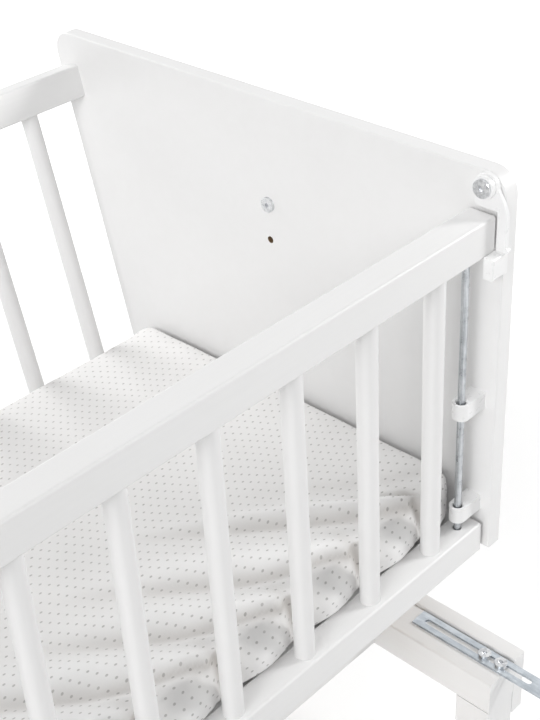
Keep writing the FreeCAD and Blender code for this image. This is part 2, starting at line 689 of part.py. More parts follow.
def bed_bracket():
    """A slotted steel strip on the cross rail. It slides out under the clamp screws, and its
    turned-down end hooks over the side rail of the parents' bed."""
    total = "bracket_rear + bracket_front"
    corners = (("0", "0"), ("bracket_thickness", "0"), ("bracket_thickness", "bracket_lip"),
               (total, "bracket_lip"), (total, "bracket_lip + bracket_thickness"),
               ("0", "bracket_lip + bracket_thickness"))
    place = ("bracket_x - bracket_width / 2", "front_edge - bracket_front",
             "cross_rail_over - bracket_lip")
    body, feature = outline_body("bracket_strip", corners, "bracket_width", place)
    limits = feature.Shape.BoundBox
    rounded(body, "bracket_bend", feature, "bracket_thickness",
            lambda e: runs_along(e, X_AXIS) and near(e.CenterOfMass.z, limits.ZMax)
            and near(e.CenterOfMass.y, limits.YMin))
    low = "cross_rail_over - slot_margin"
    tall = "bracket_thickness + 2 * slot_margin"
    slot = fuse("bracket_slot", [
        box("slot_middle", ("bracket_x - slot_width / 2", "slot_front_y", low),
            ("slot_width", "slot_rear_y - slot_front_y", tall)),
        cylinder("slot_front_end", ("bracket_x", "slot_front_y", low), "slot_width / 2", tall),
        cylinder("slot_rear_end", ("bracket_x", "slot_rear_y", low), "slot_width / 2", tall)])
    return cut("right_bed_bracket", body, slot)


PIECES = {}


def keep(item):
    PIECES[item.Label] = item
    return item


for make in (height_bolts, insert_nuts, latch_screw, clip_screws, panel_screws, carrier_screws,
             stretcher_bolts, leg_dowels, clamp_screws, foot_glides, guide_rod, latch,
             bed_bracket, barrel_nuts):
    keep(make())
keep(end_panel([PIECES[name] for name in ("right_height_bolts", "right_latch_screw",
                                          "right_clip_screws", "right_panel_screws")]))
keep(guide_clip("upper"))
keep(guide_clip("lower"))
keep(side_carrier([PIECES[name] for name in ("right_height_bolts", "right_insert_nuts",
                                             "right_carrier_screws",
                                             "right_stretcher_bolts")]))
keep(cross_rail([PIECES[name] for name in ("right_carrier_screws", "right_stretcher_bolts",
                                           "right_leg_dowels", "right_clamp_screws")]))
keep(leg("front", "frame_front_y"))
keep(leg("rear", "rear_post_y"))

# The left-hand end is the right-hand end's mirror image.
for label in list(PIECES):
    twin = doc.addObject("Part::Mirroring", label.replace("right_", "left_"))
    twin.Source = PIECES[label]
    twin.Normal = X_AXIS
    keep(twin)


# ---------------------------------------------------------------- drop side
def spindle_x(number):
    return "-inner_face + end_spindle_gap + %d * spindle_pitch" % number


SPINDLES = range(int(sheet.get("spindle_count")))


def drop_spindles():
    low = "drop_bottom_over - spindle_socket"
    length = "drop_top_under - drop_bottom_over + 2 * spindle_socket"
    return group("drop_side_spindles", [
        cylinder("drop_spindle_%d" % (i + 1), (spindle_x(i), "drop_axis", low),
                 "spindle_diameter / 2", length) for i in SPINDLES])


def drop_rail(name, under, sockets):
    blank = bar("drop_%s_rail_bar" % name, "rail_depth", "rail_height",
                "inside_length - 2 * drop_end_gap",
                ("-inner_face + drop_end_gap", "drop_front", under), "rail_rounding")
    return cut("drop_side_%s_rail" % name, blank, sockets)


keep(drop_spindles())
drop_sockets = group("drop_side_sockets", [PIECES["drop_side_spindles"],
                                           PIECES["right_guide_rod"], PIECES["left_guide_rod"]])
rod_mouths = [cylinder("rod_mouth_" + side, (sign + "rod_x", "drop_axis",
                                             "drop_bottom_over - rod_mouth_depth"),
                       "rod_mouth_diameter / 2", "rod_mouth_depth")
              for side, sign in (("right", ""), ("left", "-"))]
keep(drop_rail("top", "drop_top_under", drop_sockets))
keep(drop_rail("bottom", "drop_bottom_under",
               group("bottom_rail_sockets", [drop_sockets] + rod_mouths)))


# ---------------------------------------------------------------- leaning rear side
START_ANGLE = 10  # only sets the axis of the turn; the expression sets the real angle
LEAN = Rotation(V(-1, 0, 0), START_ANGLE)


def lean(item):
    """Turn an object about X so that its Z axis follows the panels' rear edge."""
    base = item.Placement.Base
    item.Placement = Placement(base, LEAN)
    item.setExpression("Placement.Rotation.Angle", bound("atan(lean_slope)"))
    return item


def rear_spindles():
    start = lean_point("rear_inset + rail_depth / 2",
                       "rear_low_start + rail_height - spindle_socket")
    length = "rear_top_start - rear_low_start - rail_height + 2 * spindle_socket"
    return group("rear_spindles", [
        lean(cylinder("rear_spindle_%d" % (i + 1), (spindle_x(i),) + start,
                      "spindle_diameter / 2", length)) for i in SPINDLES])


def rear_rail(name, start, sockets):
    corner = lean_point("rear_inset + rail_depth", start)
    blank = lean(bar("rear_%s_rail_bar" % name, "rail_depth", "rail_height", "inside_length",
                     ("-inner_face",) + corner, "rail_rounding"))
    return cut("rear_%s_rail" % name, blank, sockets)


keep(rear_spindles())
rear_sockets = group("rear_side_sockets", [PIECES["rear_spindles"], PIECES["right_panel_screws"],
                                           PIECES["left_panel_screws"]])
keep(rear_rail("top", "rear_top_start", rear_sockets))
keep(rear_rail("bottom", "rear_low_start", rear_sockets))


# ---------------------------------------------------------------- base under the mattress
def slat_x(number):
    return "-inner_face + slat_end_gap + %d * slat_pitch" % number


SLATS = range(int(sheet.get("slat_count")))


def slat_screws():
    screws = []
    over = "crib_ground + base_height"
    ends = (("front", "front_bearer_y + (bearer_lip + bearer_depth) / 2"),
            ("rear", "rear_bearer_y + (bearer_depth - bearer_lip) / 2"))
    for i in SLATS:
        for name, spot in ends:
            place = (slat_x(i) + " + slat_width / 2", spot, over)
            screws.append(flush_screw("slat_screw_%d_%s" % (i + 1, name), place,
                                      "base_height - slat_screw_margin", "-Z",
                                      "small_screw_radius", "small_head_radius"))
    return group("slat_screws", screws)


def front_bearer():
    corners = (("0", "0"), ("bearer_depth", "0"), ("bearer_depth", "ledge_height"),
               ("bearer_lip", "ledge_height"), ("bearer_lip", "base_height"),
               ("0", "base_height"))
    place = ("-inner_face", "front_bearer_y", "crib_ground")
    body, feature = outline_body("front_bearer_bar", corners, "inside_length", place)
    return cut("front_bearer", body, bearer_holes)


def rear_bearer():
    """Its back leans with the rear side that it lies against."""
    corners = (("0", "0"), ("bearer_depth", "0"),
               ("bearer_depth + base_height * lean_slope", "base_height"),
               ("bearer_depth - bearer_lip", "base_height"),
               ("bearer_depth - bearer_lip", "ledge_height"), ("0", "ledge_height"))
    place = ("-inner_face", "rear_bearer_y", "crib_ground")
    body, feature = outline_body("rear_bearer_bar", corners, "inside_length", place)
    return cut("rear_bearer", body, bearer_holes)


def base_slats():
    slats = [box("slat_%d" % (i + 1), (slat_x(i), "slat_y", "crib_ground + ledge_height"),
                 ("slat_width", "slat_length", "slat_thickness")) for i in SLATS]
    return cut("base_slats", group("slat_blanks", slats), PIECES["slat_screws"])


keep(slat_screws())
bearer_holes = group("bearer_holes", [PIECES["slat_screws"], PIECES["right_panel_screws"],
                                      PIECES["left_panel_screws"]])
keep(front_bearer())
keep(rear_bearer())
keep(base_slats())


# ---------------------------------------------------------------- stretchers between the leg frames
def stretcher(name):
    place = ("-post_x", "front_edge + %s_stretcher_depth" % name, "cross_rail_under")
    blank = bar(name + "_stretcher_bar", "stretcher_depth", "post_side", "2 * post_x", place,
                "rail_rounding")
    holes = group(name + "_stretcher_holes", [
        PIECES[side + piece] for side in ("right_", "left_")
        for piece in ("stretcher_bolts", "barrel_nuts")])
    return cut(name + "_stretcher", blank, holes)


keep(stretcher("front"))
keep(stretcher("rear"))
doc.recompute()


# ---------------------------------------------------------------- mattress
CURVE_STEPS = 5  # loops in each rounding and in the crown


def rounded_loop(half_length, front, rear, corner, height):
    """A level rectangle with round corners, as one wire."""
    left = -half_length
    right = half_length
    spots = ((right, front, -1, 1), (right, rear, -1, -1), (left, rear, 1, -1),
             (left, front, 1, 1))
    shrink = corner * (1 - 0.5 ** 0.5)
    edges = []
    last = None
    first = None
    for i, (x, y, inward_x, inward_y) in enumerate(spots):
        along_y = V(x, y + inward_y * corner, height)
        along_x = V(x + inward_x * corner, y, height)
        middle = V(x + inward_x * shrink, y + inward_y * shrink, height)
        ends = (along_x, along_y) if i % 2 == 0 else (along_y, along_x)
        if last is not None:
            edges.append(Part.LineSegment(last, ends[0]).toShape())
        else:
            first = ends[0]
        edges.append(Part.Arc(ends[0], middle, ends[1]).toShape())
        last = ends[1]
    edges.append(Part.LineSegment(last, first).toShape())
    return Part.Wire(edges)


def mattress():
    """Soft block with a crowned top and sides that draw in at the upper and lower edges. The
    rear follows the leaning side as far as its middle height."""
    lean_slope = ((sheet.get("panel_depth_head") - sheet.get("panel_depth_foot"))
                  / sheet.get("panel_height"))
    lean_cos = 1 / (1 + lean_slope ** 2) ** 0.5
    front_edge = PIECES["right_side_carrier"].Shape.BoundBox.YMin + sheet.get("frame_front")
    front = (front_edge + sheet.get("drop_front_gap") + sheet.get("rail_depth")
             + sheet.get("mattress_front_gap"))
    foot = sheet.get("crib_ground") + sheet.get("base_height")
    rear = (front_edge + sheet.get("panel_depth_foot")
            - (sheet.get("rear_inset") + sheet.get("rail_depth")) / lean_cos
            + lean_slope * sheet.get("base_height") - sheet.get("mattress_rear_gap"))
    half_length = sheet.get("inside_length") / 2 - sheet.get("mattress_end_gap")
    thickness = sheet.get("mattress_thickness")
    edge = sheet.get("mattress_edge")
    corner = sheet.get("mattress_corner")
    profile = []
    for i in range(CURVE_STEPS + 1):
        turn = math.pi / 2 * (1 - i / CURVE_STEPS)
        profile.append((edge / 2 * (1 - math.cos(turn)), edge / 2 * (1 - math.sin(turn))))
    for i in range(CURVE_STEPS + 1):
        turn = math.pi / 2 * i / CURVE_STEPS
        profile.append((edge * (1 - math.cos(turn)), thickness - edge * (1 - math.sin(turn))))
    loops = []
    for inset, rise in profile:
        reach = rear + lean_slope * min(rise, thickness / 2) - inset
        loops.append(rounded_loop(half_length - inset, front + inset, reach,
                                  corner - inset * sheet.get("mattress_corner_ratio"),
                                  foot + rise))
    depth = rear + lean_slope * thickness / 2 - front
    for i in range(1, CURVE_STEPS):
        share = i / CURVE_STEPS
        inset = edge + share * (depth / 2 - edge)
        loops.append(rounded_loop(half_length - inset, front + inset, front + depth - inset,
                                  (depth / 2 - inset) * sheet.get("mattress_crown_ratio"),
                                  foot + thickness
                                  + sheet.get("mattress_crown") * math.sin(math.pi / 2 * share)))
    item = doc.addObject("Part::Feature", "mattress")
    item.Shape = Part.makeLoft(loops, True, True)
    item.Placement = Placement()
    return item


keep(mattress())

# ---------------------------------------------------------------- checks and files
doc.recompute()
failed = [item.Label for item in doc.Objects
          if "Invalid" in item.State or "Error" in item.State]
if failed:
    raise RuntimeError("failed: " + ", ".join(failed))
for label, item in PIECES.items():
    shape = item.Shape
    if shape.isNull() or not shape.isValid() or not shape.Solids:
        raise RuntimeError("%s has no valid solid" % label)

os.makedirs("parts", exist_ok=True)
for label, item in PIECES.items():
    item.Shape.exportStep("parts/%s.step" % label)
    limits = item.Shape.BoundBox
    print("%-26s %2d solids, volume %10.0f, X %7.1f %7.1f  Y %7.1f %7.1f  Z %6.1f %6.1f" % (
        label, len(item.Shape.Solids), item.Shape.Volume, limits.XMin, limits.XMax,
        limits.YMin, limits.YMax, limits.ZMin, limits.ZMax))
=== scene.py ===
import math

import bpy
import numpy as np
from mathutils import Matrix, Vector


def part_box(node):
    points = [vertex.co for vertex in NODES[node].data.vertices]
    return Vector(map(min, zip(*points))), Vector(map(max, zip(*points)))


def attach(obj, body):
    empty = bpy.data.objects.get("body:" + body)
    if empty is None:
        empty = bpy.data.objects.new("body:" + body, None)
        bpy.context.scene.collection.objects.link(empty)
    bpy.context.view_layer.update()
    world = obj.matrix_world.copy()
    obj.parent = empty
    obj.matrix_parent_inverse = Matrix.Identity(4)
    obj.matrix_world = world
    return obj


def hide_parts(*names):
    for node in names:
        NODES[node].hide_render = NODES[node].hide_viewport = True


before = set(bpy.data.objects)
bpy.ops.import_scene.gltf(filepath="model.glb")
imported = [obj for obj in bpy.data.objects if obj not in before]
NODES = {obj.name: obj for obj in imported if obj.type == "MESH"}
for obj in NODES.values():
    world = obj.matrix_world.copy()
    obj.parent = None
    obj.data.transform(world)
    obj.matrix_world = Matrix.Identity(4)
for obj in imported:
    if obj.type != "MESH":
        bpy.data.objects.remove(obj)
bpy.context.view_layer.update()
MM = 0.001


# ---------------------------------------------------------------- material nodes
class Material:
    """A node material around one Principled shader. Lengths in it are metres."""

    def __init__(self, name, **constants):
        self.made = bpy.data.materials.new(name)
        self.made.use_nodes = True
        self.tree = self.made.node_tree
        self.shader = self.tree.nodes["Principled BSDF"]
        for socket, value in constants.items():
            self.shader.inputs[socket.replace("_", " ")].default_value = value
        self.place = self.add("ShaderNodeTexCoord").outputs["Object"]

    def add(self, kind, **settings):
        node = self.tree.nodes.new(kind)
        for key, value in settings.items():
            setattr(node, key, value)
        return node

    def link(self, source, target):
        self.tree.links.new(source, target)

    def feed(self, node, **inputs):
        """Set or link inputs, named with _ for a space or given as in0, in1 for their places."""
        for key, value in inputs.items():
            numbered = key[:2] == "in" and key[2:].isdigit()
            spot = int(key[2:]) if numbered else key.replace("_", " ")
            if isinstance(value, bpy.types.NodeSocket):
                self.link(value, node.inputs[spot])
            else:
                node.inputs[spot].default_value = value
        return node

    def math(self, operation, first, second=0.0, third=0.0):
        node = self.add("ShaderNodeMath", operation=operation)
        return self.feed(node, in0=first, in1=second, in2=third).outputs[0]

    def scaled(self, source, scale):
        node = self.add("ShaderNodeMapping")
        return self.feed(node, Vector=source, Scale=scale).outputs[0]

    def noise(self, source, scale, detail=3.0, roughness=0.5, distortion=0.0):
        node = self.add("ShaderNodeTexNoise")
        self.feed(node, Vector=source, Scale=scale, Detail=detail, Roughness=roughness,
                  Distortion=distortion)
        return node.outputs["Fac"]

    def spread(self, source, low, high, to_low, to_high, smooth=False):
        """Map the range low to high onto the range to_low to to_high."""
        node = self.add("ShaderNodeMapRange")
        node.interpolation_type = "SMOOTHSTEP" if smooth else "LINEAR"
        self.feed(node, in0=source, in1=low, in2=high, in3=to_low, in4=to_high)
        return node.outputs[0]

    def blend(self, share, first, second, how="MIX"):
        """Mix two colours, which are inputs 6 and 7 of the node; output 2 is the mix."""
        node = self.add("ShaderNodeMix", data_type="RGBA", blend_type=how)
        self.feed(node, in0=share, in6=first, in7=second)
        return node.outputs[2]

    def bump(self, height, distance, under=None):
        node = self.add("ShaderNodeBump")
        self.feed(node, Height=height, Distance=distance, Strength=1.0)
        if under is not None:
            self.link(under, node.inputs["Normal"])
        return node.outputs[0]

    def finish(self, colour, roughness, normal):
        self.feed(self.shader, Base_Color=colour, Roughness=roughness, Normal=normal)
        return self.made


def grey(level, warm=0.0):
    """A near-neutral linear colour; warm lifts red and lowers blue."""
    return (level * (1 + warm), level, level * (1 - warm), 1)


# ---------------------------------------------------------------- finishes
LACQUER_DARK = grey(0.815, 0.004)
LACQUER_LIGHT = grey(0.835, 0.002)
LACQUER_GRAIN_DEPTH = 0.06 * MM
LACQUER_PEEL_DEPTH = 0.03 * MM
BORE_DARK = (0.16, 0.10, 0.055, 1)
BORE_LIGHT = (0.36, 0.25, 0.15, 1)


def lacquer(name, stretch, holes=()):
    """Sprayed white satin lacquer. Stretch squeezes the faint grain across the length of the
    wood. Holes are (y, z, radius) of bores along X that show bare board."""
    m = Material(name, IOR=1.45, Coat_Weight=0.12, Coat_Roughness=0.25)
    cloud = m.noise(m.place, scale=7.0, detail=2.0)
    grain = m.noise(m.scaled(m.place, stretch), scale=1.0, detail=4.0, roughness=0.6,
                    distortion=0.4)
    peel = m.noise(m.place, scale=900.0, detail=1.0)
    tone = m.math("ADD", m.math("MULTIPLY", cloud, 0.6), m.math("MULTIPLY", grain, 0.4))
    colour = m.blend(m.spread(tone, 0.35, 0.65, 0.0, 1.0), LACQUER_DARK, LACQUER_LIGHT)
    roughness = m.spread(m.noise(m.place, scale=40.0), 0.3, 0.7, 0.36, 0.46)
    for y, z, radius in holes:
        split = m.add("ShaderNodeSeparateXYZ")
        m.link(m.place, split.inputs[0])
        away_y = m.math("SUBTRACT", split.outputs[1], y)
        away_z = m.math("SUBTRACT", split.outputs[2], z)
        square = m.math("ADD", m.math("MULTIPLY", away_y, away_y),
                        m.math("MULTIPLY", away_z, away_z))
        inside = m.math("LESS_THAN", square, radius * radius)
        fibre = m.noise(m.place, scale=1500.0, roughness=0.7)
        colour = m.blend(inside, colour, m.blend(fibre, BORE_DARK, BORE_LIGHT))
    relief = m.bump(grain, LACQUER_GRAIN_DEPTH)
    relief = m.bump(peel, LACQUER_PEEL_DEPTH, under=relief)
    return m.finish(colour, roughness, relief)


PORE_DEPTH = 0.15 * MM


def bare_wood(name, stretch, light, dark):
    """Planed wood with growth rings and fine pores, long in the grain's direction."""
    m = Material(name, IOR=1.4)
    along = m.scaled(m.place, stretch)
    rings = m.add("ShaderNodeTexWave", wave_type="BANDS", bands_direction="DIAGONAL")
    m.feed(rings, Vector=along, Scale=0.55, Distortion=6.0, Detail=3.0, Detail_Scale=1.2)
    pores = m.noise(along, scale=5.0, detail=5.0, roughness=0.7, distortion=0.2)
    cloud = m.noise(m.place, scale=11.0, detail=2.0)
    tone = m.math("ADD", m.math("MULTIPLY", rings.outputs["Fac"], 0.5),
                  m.math("MULTIPLY", pores, 0.5))
    colour = m.blend(m.spread(tone, 0.2, 0.8, 0.0, 1.0), light, dark)
    colour = m.blend(m.math("MULTIPLY", cloud, 0.25), colour, light)
    roughness = m.spread(pores, 0.3, 0.7, 0.55, 0.75)
    return m.finish(colour, roughness, m.bump(pores, PORE_DEPTH))


MOULD_DEPTH = 0.04 * MM
MOULD_TONES = 0.03


def plastic(name, level, roughness, peel_scale):
    """Injection-moulded white plastic."""
    m = Material(name, IOR=1.5)
    cloud = m.noise(m.place, scale=60.0, detail=2.0)
    colour = m.blend(cloud, grey(level), grey(level + MOULD_TONES))
    rough = m.spread(m.noise(m.place, scale=180.0), 0.3, 0.7, roughness - 0.05, roughness + 0.06)
    relief = m.bump(m.noise(m.place, scale=peel_scale, detail=2.0), MOULD_DEPTH)
    return m.finish(colour, rough, relief)


STREAK_DEPTH = 0.04 * MM


def metal(name, stretch, dark, light, roughness):
    """Cloudy plated steel or brass, with drawn streaks where stretch is uneven."""
    m = Material(name, Metallic=1.0)
    streaks = m.noise(m.scaled(m.place, stretch), scale=1.0, detail=5.0, roughness=0.65,
                      distortion=0.3)
    cloud = m.noise(m.place, scale=130.0, roughness=0.6)
    tone = m.math("ADD", m.math("MULTIPLY", streaks, 0.65), m.math("MULTIPLY", cloud, 0.35))
    colour = m.blend(m.spread(tone, 0.36, 0.64, 0.0, 1.0, smooth=True), dark, light)
    rough = m.spread(cloud, 0.3, 0.7, roughness - 0.06, roughness + 0.08)
    return m.finish(colour, rough, m.bump(streaks, STREAK_DEPTH))


# The print's two steps from dot to dot, and a dot's half length and half width, in metres.
DOT_STEP_A = (0.0101, 0.0022)
DOT_STEP_B = (-0.0039, 0.00585)
DOT_HALF = (0.00135, 0.00085)
DOT_COLOUR = (0.54, 0.53, 0.52, 1)
PRINT_WANDER = 6 * MM
COTTON_DARK = grey(0.92, 0.006)
COTTON_LIGHT = grey(0.96, 0.002)
COTTON_CLOUD = grey(0.86, 0.01)
# painted shade colour: the sheet's colour is multiplied by it where the folds' attribute paints
# shade
PAINTED_SHADE_COLOUR = (0.42, 0.39, 0.36, 1)
YARN_DEPTH = 0.12 * MM
CRUMPLE_DEPTH = 0.18 * MM


def dotted_cotton(name):
    """Cotton jersey with small grey dots in slanting rows. The print follows the attribute
    cloth_map, the sheet's own flat coordinates. The folds' attribute is painted shade: it darkens
    the colour most in the valleys, creases and pinches and least on the ridges and puffs."""
    m = Material(name, IOR=1.4, Sheen_Weight=0.15, Sheen_Roughness=0.5)
    flat = m.add("ShaderNodeAttribute", attribute_name="cloth_map").outputs["Vector"]
    soft = m.feed(m.add("ShaderNodeTexNoise"), Vector=flat, Scale=14.0, Detail=1.0)
    wander = m.add("ShaderNodeVectorMath", operation="MULTIPLY_ADD")
    m.feed(wander, in0=soft.outputs["Color"], in1=(PRINT_WANDER, PRINT_WANDER, 0.0), in2=flat)
    (ax, ay), (bx, by) = DOT_STEP_A, DOT_STEP_B
    area = ax * by - ay * bx
    steps = []
    for row in ((by / area, -bx / area, 0), (-ay / area, ax / area, 0)):
        count = m.add("ShaderNodeVectorMath", operation="DOT_PRODUCT")
        m.feed(count, in0=wander.outputs[0], in1=row)
        steps.append(m.math("SUBTRACT", m.math("FRACT", count.outputs["Value"]), 0.5))
    off_x = m.math("MULTIPLY_ADD", steps[0], ax / DOT_HALF[0],
                   m.math("MULTIPLY", steps[1], bx / DOT_HALF[0]))
    off_y = m.math("MULTIPLY_ADD", steps[0], ay / DOT_HALF[1],
                   m.math("MULTIPLY", steps[1], by / DOT_HALF[1]))
    reach = m.math("SQRT", m.math("ADD", m.math("MULTIPLY", off_x, off_x),
                                  m.math("MULTIPLY", off_y, off_y)))
    dot = m.spread(reach, 0.72, 1.2, 1.0, 0.0, smooth=True)
    worn = m.spread(m.noise(flat, scale=260.0, detail=2.0), 0.3, 0.7, 0.65, 1.0)
    yarn = m.noise(m.scaled(flat, (900.0, 2200.0, 1.0)), scale=1.0, detail=2.0, roughness=0.6)
    cloud = m.noise(flat, scale=20.0)
    cotton = m.blend(m.math("MULTIPLY", yarn, 0.5), COTTON_DARK, COTTON_LIGHT)
    cotton = m.blend(m.math("MULTIPLY", cloud, 0.2), cotton, COTTON_CLOUD)
    colour = m.blend(m.math("MULTIPLY", dot, worn), cotton, DOT_COLOUR)
    # painted shade: the sheet's colour darkens towards the painted shade colour where the folds'
    # attribute is low
    fold_shade = m.add("ShaderNodeAttribute", attribute_name="painted_fold_shade").outputs["Fac"]
    shaded_colour = m.blend(1.0, colour, PAINTED_SHADE_COLOUR, how="MULTIPLY")
    colour = m.blend(fold_shade, shaded_colour, colour)
    relief = m.bump(yarn, YARN_DEPTH)
    relief = m.bump(m.noise(flat, scale=420.0), CRUMPLE_DEPTH, under=relief)
    return m.finish(colour, m.spread(yarn, 0.3, 0.7, 0.8, 0.95), relief)


# The panel's empty holes lie one step below each of its bolts.
BOLT_MIN, BOLT_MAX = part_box("right_height_bolts")
BOLT_HEAD = 6.9 * MM
HOLE_STEP = 35 * MM
HOLE_RADIUS = 3.28 * MM
HOLE_Y = (BOLT_MIN.y + BOLT_MAX.y) / 2
HOLES = [(HOLE_Y, z - HOLE_STEP, HOLE_RADIUS)
         for z in (BOLT_MAX.z - BOLT_HEAD, BOLT_MIN.z + BOLT_HEAD)]

# How fast the grain or the streaks change: slowly along the piece, fast across it.
SLOW, FAST = 9, 420
ALONG_X = (SLOW, FAST, FAST)
ALONG_Y = (FAST, SLOW, FAST)
ALONG_Z = (FAST, FAST, SLOW)
EVEN = (90, 90, 90)
PINE = (0.62, 0.46, 0.29, 1)
FINISHES = {
    "board": lacquer("lacquered_board", EVEN),
    "panel": lacquer("lacquered_panel", EVEN, HOLES),
    "rail": lacquer("lacquered_rail", ALONG_X),
    "post": lacquer("lacquered_post", ALONG_Z),
    "cross": lacquer("lacquered_cross_rail", ALONG_Y),
    "slat": bare_wood("bare_pine_slats", (160, 9, 160), PINE, (0.42, 0.27, 0.14, 1)),
    "dowel": bare_wood("bare_beech", (260, 260, 20), (0.55, 0.38, 0.23, 1),
                       (0.38, 0.24, 0.13, 1)),
    "clip": plastic("moulded_white", level=0.85, roughness=0.3, peel_scale=700.0),
    "glide": plastic("moulded_glides", level=0.55, roughness=0.55, peel_scale=400.0),
    "bolt": metal("zinc_bolts", (300, 300, 300), (0.5, 0.51, 0.53, 1), (0.8, 0.81, 0.82, 1),
                  roughness=0.22),
    "rod": metal("zinc_rod", (900, 900, 14), (0.34, 0.36, 0.38, 1), (0.62, 0.64, 0.66, 1),
                 roughness=0.3),
    "bracket": metal("zinc_bracket", (220, 60, 220), (0.45, 0.49, 0.53, 1),
                     (0.62, 0.66, 0.70, 1), roughness=0.36),
    "brass": metal("brass_inserts", (200, 200, 200), (0.50, 0.36, 0.16, 1),
                   (0.72, 0.55, 0.28, 1), roughness=0.3),
}
# The first word found in a piece's name picks its finish.
WEARS = (
    ("end_panel", "panel"), ("side_carrier", "board"), ("foot_glides", "glide"),
    ("insert_nuts", "brass"), ("leg_dowels", "dowel"), ("guide_clip", "clip"),
    ("latch_screw", "bolt"), ("latch", "clip"), ("guide_rod", "rod"), ("bed_bracket", "bracket"),
    ("slat_screws", "bolt"), ("slats", "slat"), ("bearer", "rail"), ("cross_rail", "cross"),
    ("leg", "post"), ("spindles", "post"), ("stretcher_bolts", "bolt"), ("stretcher", "rail"),
    ("rail", "rail"), ("bolts", "bolt"), ("screws", "bolt"), ("barrel_nuts", "bolt"),
)
for label, node in NODES.items():
    worn = [finish for word, finish in WEARS if word in label]
    if worn:
        node.data.materials.clear()
        node.data.materials.append(FINISHES[worn[0]])


# ---------------------------------------------------------------- mattress in its fitted sheet
PAD_MIN, PAD_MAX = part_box("mattress")
RAIL_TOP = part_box("drop_side_bottom_rail")[1].z
SPINDLE_MIN, SPINDLE_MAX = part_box("drop_side_spindles")
SPINDLE_RADIUS = (SPINDLE_MAX.y - SPINDLE_MIN.y) / 2
SPINDLE_Y = SPINDLE_MAX.y - SPINDLE_RADIUS
SPINDLES = 11
PITCH = (SPINDLE_MAX.x - SPINDLE_MIN.x - 2 * SPINDLE_RADIUS) / (SPINDLES - 1)
FIRST_SPINDLE = SPINDLE_MIN.x + SPINDLE_RADIUS

CROWN = 3 * MM
TOP_Z = PAD_MAX.z - CROWN
HALF_HEIGHT = 22.5 * MM
LEAN = 75 / 355
REST_Y = PAD_MAX.y - LEAN * HALF_HEIGHT
HALF_X = PAD_MAX.x
MIDDLE_Y = (PAD_MIN.y + PAD_MAX.y) / 2
HALF_Y = (PAD_MAX.y - PAD_MIN.y) / 2

# the form that the cloth starts from
FORM_INSET = 0.6 * MM
LOW_EDGE = 7 * MM
HIGH_EDGE = 2.5 * MM
LOW_RINGS = 5
HIGH_RINGS = 7
CORNER = 15 * MM
CORNER_LOSS = 0.5
CORNER_POINTS = 24
VOXEL = 5 * MM

# the cloth simulation
CLOTH_FRAMES = 20
SWELL_CAP = 3.5 * MM

# the slanting folds behind the front edge
FOLDS = 12
FOLD_START = -43 * MM
FOLD_SLOPE = 1.25
SWAY = 4 * MM
VALLEY_WIDTH = 12 * MM
VALLEY_DEPTH = 4.0 * MM
CREASE_WIDTH = 5 * MM
CREASE_LENGTH = 30 * MM
CREASE_DEPTH = 2.4 * MM
SPLIT_PLACE = 15 * MM
SPLIT_WIDTH = 4 * MM
SPLIT_LENGTH = 22 * MM
END_LIFT = 2.8 * MM

# the front side at the spindles and between them
PINCH = 7 * MM
PINCH_WIDTH = 6.5 * MM
PINCH_DEPTH = 6.5 * MM
PUFF = 6.5 * MM
RESTING = 4.2 * MM
FRONT_SLACK = 2 * MM
PUFF_LIFT = 2.4 * MM
PLEAT = 0.5 * MM

# the gathers at the corners and along the rear
GATHER = 1.3 * MM
RIPPLE = 0.5 * MM

# how far the sheet may reach past the mattress's box, and its room to its neighbours
END_REACH = 1.5 * MM
LOW_REACH = 2.2 * MM
RAIL_REACH = 11 * MM
SPINDLE_ROOM = 0.9 * MM
SLAT_ROOM = 0.2 * MM

# painted shade on the sheet, kept in the folds' attribute: 1 is full colour and 0 the darkest
# painted shade; ridges and puffs are painted lighter, valleys, creases, pinches and the sheet by
# the spindles darker
PLAIN_SHADE = 0.87
RIDGE_SHADE = 0.13
VALLEY_SHADE = 0.34
CREASE_SHADE = 0.26
PUFF_SHADE = 0.12
PINCH_SHADE = 0.5
SPINDLE_SHADE = 0.1


def rear_y(z):
    """The mattress's rear face, which leans with the rear side up to its middle height."""
    return REST_Y + LEAN * min(z - PAD_MIN.z, HALF_HEIGHT)


def ring(shrink, radius, z):
    """Points of a level rectangle with round corners."""
    x1 = PAD_MAX.x - shrink
    y0 = PAD_MIN.y + shrink
    y1 = rear_y(z) - shrink
    centres = ((x1 - radius, y1 - radius, 0), (-x1 + radius, y1 - radius, 90),
               (-x1 + radius, y0 + radius, 180), (x1 - radius, y0 + radius, 270))
    points = []
    for cx, cy, start in centres:
        for i in range(CORNER_POINTS):
            turn = math.radians(start + 90 * i / (CORNER_POINTS - 1))
            points.append((cx + radius * math.cos(turn), cy + radius * math.sin(turn), z))
    return points


